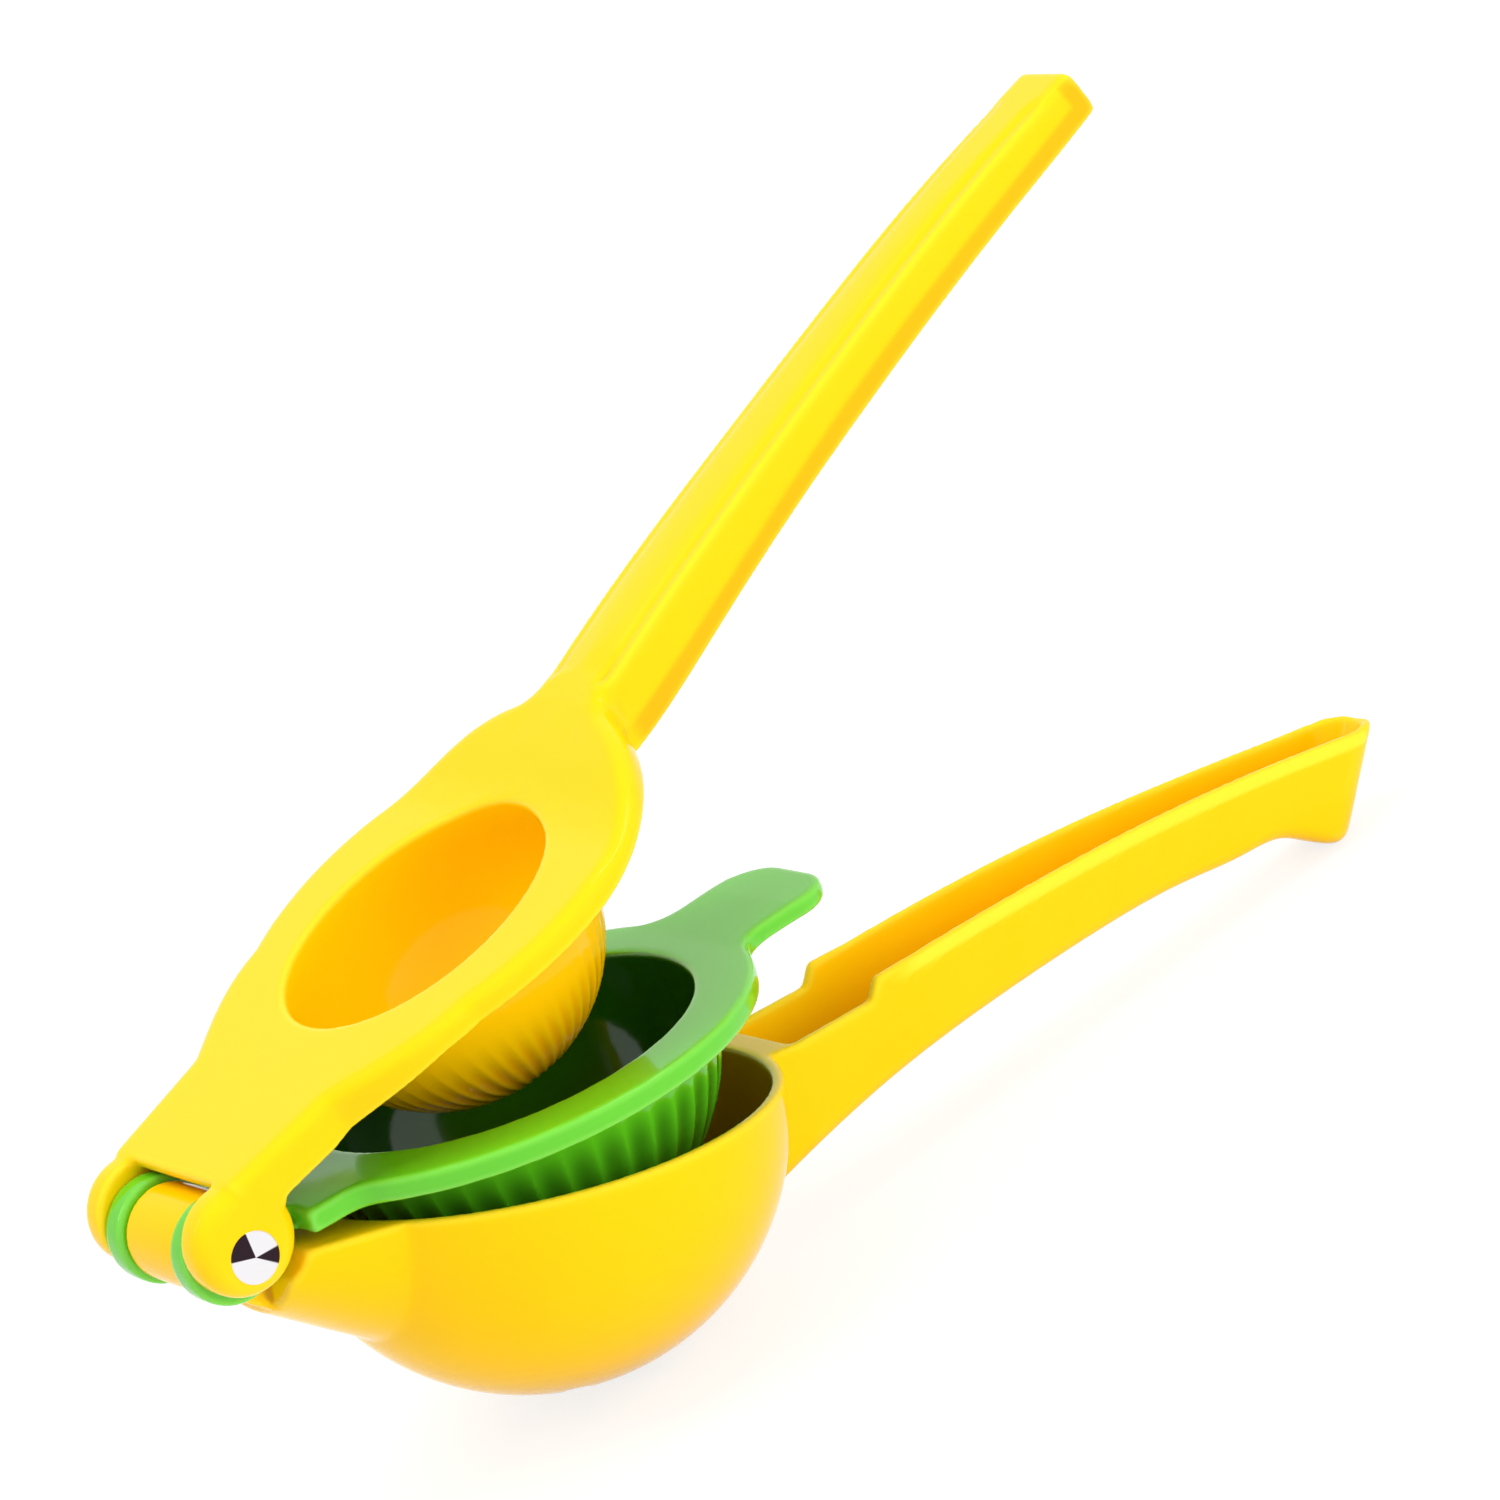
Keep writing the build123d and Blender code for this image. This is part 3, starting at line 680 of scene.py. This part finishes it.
casting(
    "bowl_arm_cast", "bowl_arm", "bowl", bowl_enamel, BOWL_TILT,
    shape=rounded_channel, soft_spot=LOBE_SOFT_SPOT, painted_light=lower_arm_painted_highlight,
)
casting(
    "lime_cup_cast", "lime_cup", "lime", lime_enamel, LIME_TILT,
    flutes={
        "Centre": in_arm(LIME_TILT, *LIME_CENTRE), "Tilt": math.radians(LIME_TILT),
        "Radius": LIME_OUTSIDE * MM, "Flutes": LIME_FLUTES, "Phase": LIME_PHASE, "Depth": 0.45 * MM,
        "Top": -3.0 * MM, "Full": -11.0 * MM, "Foot": 15.0 * MM, "Enamel": lime_enamel,
    },
)
casting(
    "press_arm_cast", "press_arm", "press", press_enamel, PRESS_TILT,
    shape=creased_handle, painted_light=press_arm_painted_shade,
    flutes={
        "Centre": in_arm(PRESS_TILT, *DOME_CENTRE), "Tilt": math.radians(PRESS_TILT),
        "Radius": DOME_OUTSIDE * MM, "Flutes": DOME_FLUTES, "Phase": 0.0, "Depth": 0.24 * MM,
        "Top": -3.0 * MM, "Full": -15.0 * MM, "Foot": 5.0 * MM, "Enamel": press_enamel,
    },
)


# ------------------------------------------------------------------- steel pin

# In mm: the pin's radii, and the distances from its middle to the end of its shank, and to the inner
# side and the face of its head and its cap
HEAD_RADIUS = 3.74
SHANK_RADIUS = 2.6
SHANK_END = 16.4
HEAD_SEAT = 16.5
HEAD_FACE = 18.1

# The soft rim of the head and of the cap, as (y, radius) from the face to the side
SOFT_RIM = (
    (HEAD_FACE, HEAD_RADIUS - 0.19),
    (HEAD_FACE - 0.03, HEAD_RADIUS - 0.07),
    (HEAD_FACE - 0.13, HEAD_RADIUS),
)


def lathe(name, profile):
    """A turned piece on the hinge axis from (y, radius) pairs in mm."""
    segments = 96
    mesh = bpy.data.meshes.new(name)
    work = bmesh.new()
    rings = []
    for y, radius in profile:
        if radius == 0:
            rings.append([work.verts.new(HINGE + Vector((0, y * MM, 0)))])
            continue
        ring = []
        for i in range(segments):
            turn = 2 * math.pi * i / segments
            offset = Vector((radius * math.cos(turn), y, radius * math.sin(turn))) * MM
            ring.append(work.verts.new(HINGE + offset))
        rings.append(ring)
    for first, second in zip(rings, rings[1:]):
        for i in range(segments):
            j = (i + 1) % segments
            corners = [first[i % len(first)], first[j % len(first)]]
            corners += [second[j % len(second)], second[i % len(second)]]
            work.faces.new(list(dict.fromkeys(corners)))
    bmesh.ops.recalc_face_normals(work, faces=work.faces)
    work.to_mesh(mesh)
    work.free()
    mesh.shade_smooth()
    mesh.materials.append(pin_steel)
    piece = bpy.data.objects.new(name, mesh)
    scene.collection.objects.link(piece)
    return piece


pin = lathe("hinge_pin_turned", (
    (-HEAD_FACE, 0), *((-y, radius) for y, radius in SOFT_RIM),
    (-HEAD_SEAT, HEAD_RADIUS), (-HEAD_SEAT + 0.05, SHANK_RADIUS), (SHANK_END, SHANK_RADIUS), (SHANK_END, 0),
))
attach(pin, "press")
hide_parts("hinge_pin")

# The cap's face has a fine ring pressed into it, round a slightly raised middle
cap = lathe("pin_cap_riveted", (
    (HEAD_SEAT, 0), (HEAD_SEAT, HEAD_RADIUS), *reversed(SOFT_RIM),
    (HEAD_FACE, 1.7), (HEAD_FACE - 0.1, 1.55), (HEAD_FACE, 1.4), (HEAD_FACE + 0.06, 0),
))
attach(cap, "press")
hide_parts("pin_cap")


# --------------------------------------------------------------- floor and light


def floor_material():
    """A white sweep: bounces light as white paint, looks white to the camera and in reflections."""
    material = bpy.data.materials.new("white_sweep")
    material.use_nodes = True
    tree = material.node_tree
    tree.nodes.remove(tree.nodes["Principled BSDF"])
    paint = put(tree, "ShaderNodeBsdfDiffuse", Color=(0.85, 0.85, 0.85, 1))
    dim = put(tree, "ShaderNodeBsdfDiffuse", Color=(0.25, 0.25, 0.25, 1))
    glow = put(tree, "ShaderNodeEmission", Color=(1, 1, 1, 1), Strength=0.8)
    lit = put(tree, "ShaderNodeAddShader", _0=dim.outputs[0], _1=glow.outputs[0])
    mix = put(tree, "ShaderNodeMixShader", _0=seen_directly(tree), _1=paint.outputs[0], _2=lit.outputs[0])
    tree.links.new(mix.outputs[0], tree.nodes["Material Output"].inputs["Surface"])
    return material


FLOOR_REACH = 6

floor_mesh = bpy.data.meshes.new("floor")
floor_corners = [(x * FLOOR_REACH, y * FLOOR_REACH, 0) for x, y in ((-1, -1), (1, -1), (1, 1), (-1, 1))]
floor_mesh.from_pydata(floor_corners, [], [(0, 1, 2, 3)])
floor_mesh.materials.append(floor_material())
floor = bpy.data.objects.new("floor", floor_mesh)
scene.collection.objects.link(floor)

# A studio that looks white and lights the tool more softly than it looks
world = bpy.data.worlds.new("studio")
scene.world = world
world.use_nodes = True
studio = world.node_tree
looks = studio.nodes["Background"]
looks.inputs["Color"].default_value = (1, 1, 1, 1)
looks.inputs["Strength"].default_value = 1.0
bounce = put(studio, "ShaderNodeBackground", Color=(1, 1, 1, 1), Strength=0.45)
mix = put(studio, "ShaderNodeMixShader", _0=seen_directly(studio), _1=bounce.outputs[0], _2=looks.outputs[0])
studio.links.new(mix.outputs[0], studio.nodes["World Output"].inputs["Surface"])

LAMPS_AIM = Vector((-0.02, 0, 0.05))


def area_lamp(name, place, width, height, power, in_reflections=False):
    """An area lamp that faces the tool."""
    data = bpy.data.lights.new(name, "AREA")
    data.shape = "RECTANGLE"
    data.size = width
    data.size_y = height
    data.energy = power
    lamp = bpy.data.objects.new(name, data)
    scene.collection.objects.link(lamp)
    lamp.location = place
    lamp.rotation_euler = (LAMPS_AIM - Vector(place)).to_track_quat("-Z", "Y").to_euler()
    lamp.visible_glossy = in_reflections
    lamp.visible_camera = False


area_lamp("front right", (0.5, -1.1, 0.45), width=0.9, height=0.9, power=7.2)
area_lamp("front low", (-0.3, -1.1, 0.15), width=0.8, height=0.8, power=3.8)
area_lamp("back", (0.3, 1.2, 0.5), width=0.9, height=0.9, power=5.0)
area_lamp("top", (-0.35, 0.1, 1.25), width=0.9, height=0.9, power=10.3)
area_lamp("accent left", (-0.75, 0.45, 0.85), width=0.12, height=0.5, power=1.1, in_reflections=True)
area_lamp("accent right", (0.5, -0.2, 1.0), width=0.12, height=0.5, power=0.8, in_reflections=True)

camera_data = bpy.data.cameras.new("camera")
camera_data.sensor_width = 36.0
camera_data.lens = 146.27
camera_data.clip_start = 0.05
camera = bpy.data.objects.new("camera", camera_data)
camera.location = (-0.37444, -0.73756, 0.36633)
camera.rotation_euler = [math.radians(a) for a in (68.4103, 22.7061, -36.1596)]
scene.collection.objects.link(camera)
scene.camera = camera

scene.view_settings.view_transform = "Standard"
